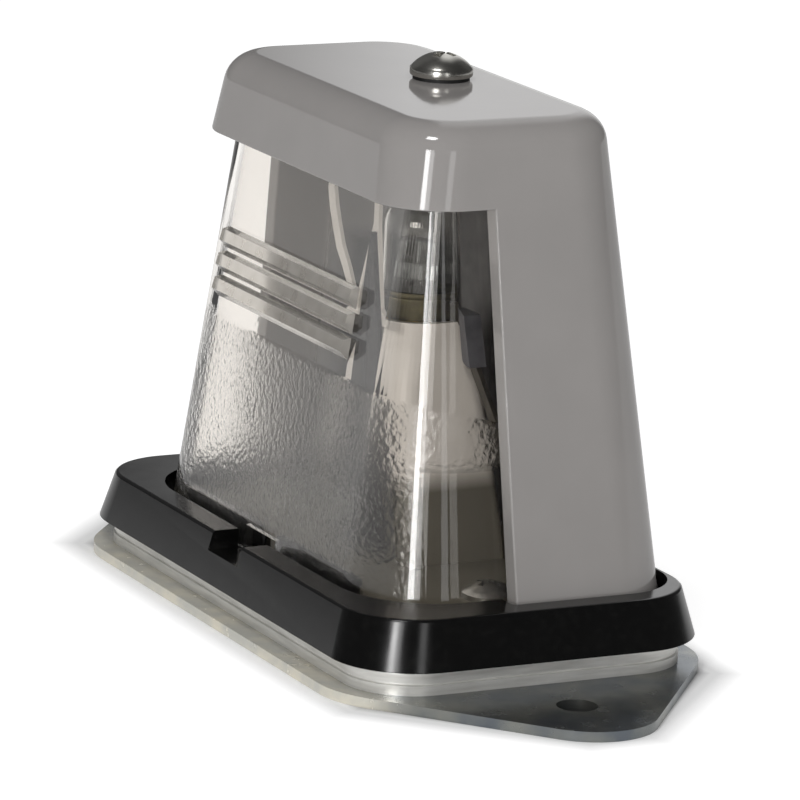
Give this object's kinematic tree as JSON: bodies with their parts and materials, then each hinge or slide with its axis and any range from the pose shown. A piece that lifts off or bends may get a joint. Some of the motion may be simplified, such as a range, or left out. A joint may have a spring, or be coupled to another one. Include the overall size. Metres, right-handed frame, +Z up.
{
  "type": "number plate lamp",
  "caption": "Number plate lamp with a clear wrap-round lens under a grey moulded hood, on a black frame and a flat zinc-plated plate with an ear at each end.",
  "frame": {"origin": "centre of the underside of the base plate, midway between the ear holes", "axes": "+Z up out of the mounting surface, +X along the plate towards the right ear, the lens faces -Y"},
  "size_m": [0.146, 0.0602, 0.0845],
  "materials": {
    "zinc_sheet": "dull zinc-plated pressed sheet",
    "tray_metal": "bright drawn sheet",
    "rivet_metal": "plain rivets",
    "frame_plastic": "black moulding, fine grain",
    "seal_rubber": "moulded rubber",
    "carrier_plastic": "cream moulding",
    "fixing_steel": "zinc-plated screws",
    "lens_plastic": "clear moulding, stippled lower part",
    "hood_plastic": "light grey gloss moulding",
    "screw_plating": "nickel-plated pan head",
    "bracket_steel": "dark folded strip",
    "shell_brass": "drawn brass tube",
    "insulator": "brown laminate",
    "contact_metal": "brass contact",
    "spring_steel": "spring wire",
    "cap_brass": "dulled brass cap",
    "solder": "solder",
    "bulb_glass": "clear blown glass",
    "stem_glass": "pinched glass foot",
    "tungsten": "coiled wire",
    "blade_steel": "dark blued sheet",
    "block_plastic": "dark grey moulding"
  },
  "bodies": {
    "root": {"base_plate": "zinc_sheet", "base_tray": "tray_metal", "tray_rivets": "rivet_metal", "base_frame": "frame_plastic", "lens_seal": "seal_rubber", "carrier": "carrier_plastic", "frame_screws": "fixing_steel", "lens": "lens_plastic", "hood": "hood_plastic", "screw_seal": "seal_rubber", "cover_screw": "screw_plating", "cover_bracket": "bracket_steel", "cover_nut": "fixing_steel", "bracket_rivets": "rivet_metal", "holder_shell": "shell_brass", "holder_insulator": "insulator", "centre_contact": "contact_metal", "contact_spring": "spring_steel", "bulb_cap": "cap_brass", "bulb_solder": "solder", "bulb_glass": "bulb_glass", "bulb_stem": "stem_glass", "filament": "tungsten", "shield_blade": "blade_steel", "blade_rivet": "rivet_metal", "contact_strip": "contact_metal", "contact_block": "block_plastic", "centre_lead": "contact_metal", "cable_grommet": "seal_rubber"}
  },
  "joints": []
}
